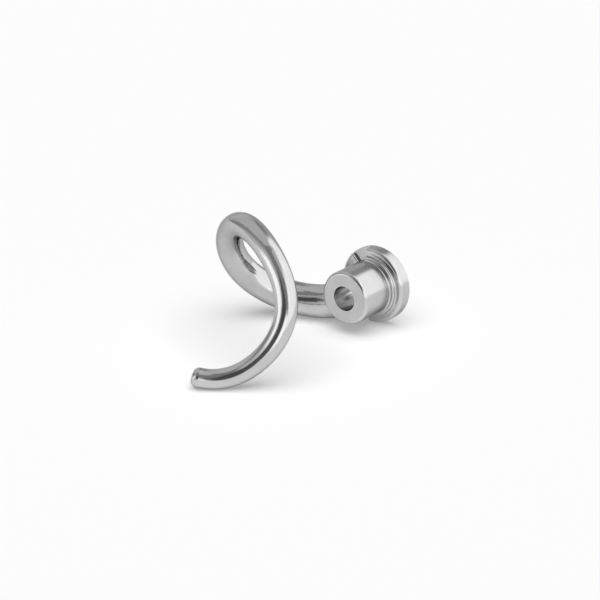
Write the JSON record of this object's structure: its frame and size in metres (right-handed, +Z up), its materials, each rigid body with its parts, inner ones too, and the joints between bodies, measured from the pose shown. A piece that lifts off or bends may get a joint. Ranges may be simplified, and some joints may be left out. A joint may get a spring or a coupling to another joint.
{
  "type": "stand mixer dough hook",
  "caption": "Spiral dough hook for a stand mixer: a tapering round arm winds down from a flanged hub, whose bore slides onto the mixer's drive shaft.",
  "frame": {"origin": "centre of the bore at the drive end, where the mixer's shaft enters", "axes": "+X along the hub's axis from the drive end toward the open end and the arm's tip, +Z up as the hook lies on a table, +Y to the left of +X"},
  "size_m": [0.1268, 0.0842, 0.0704],
  "materials": {
    "polished_steel": "polished"
  },
  "bodies": {
    "root": {"dough_hook": "polished_steel"}
  },
  "joints": []
}
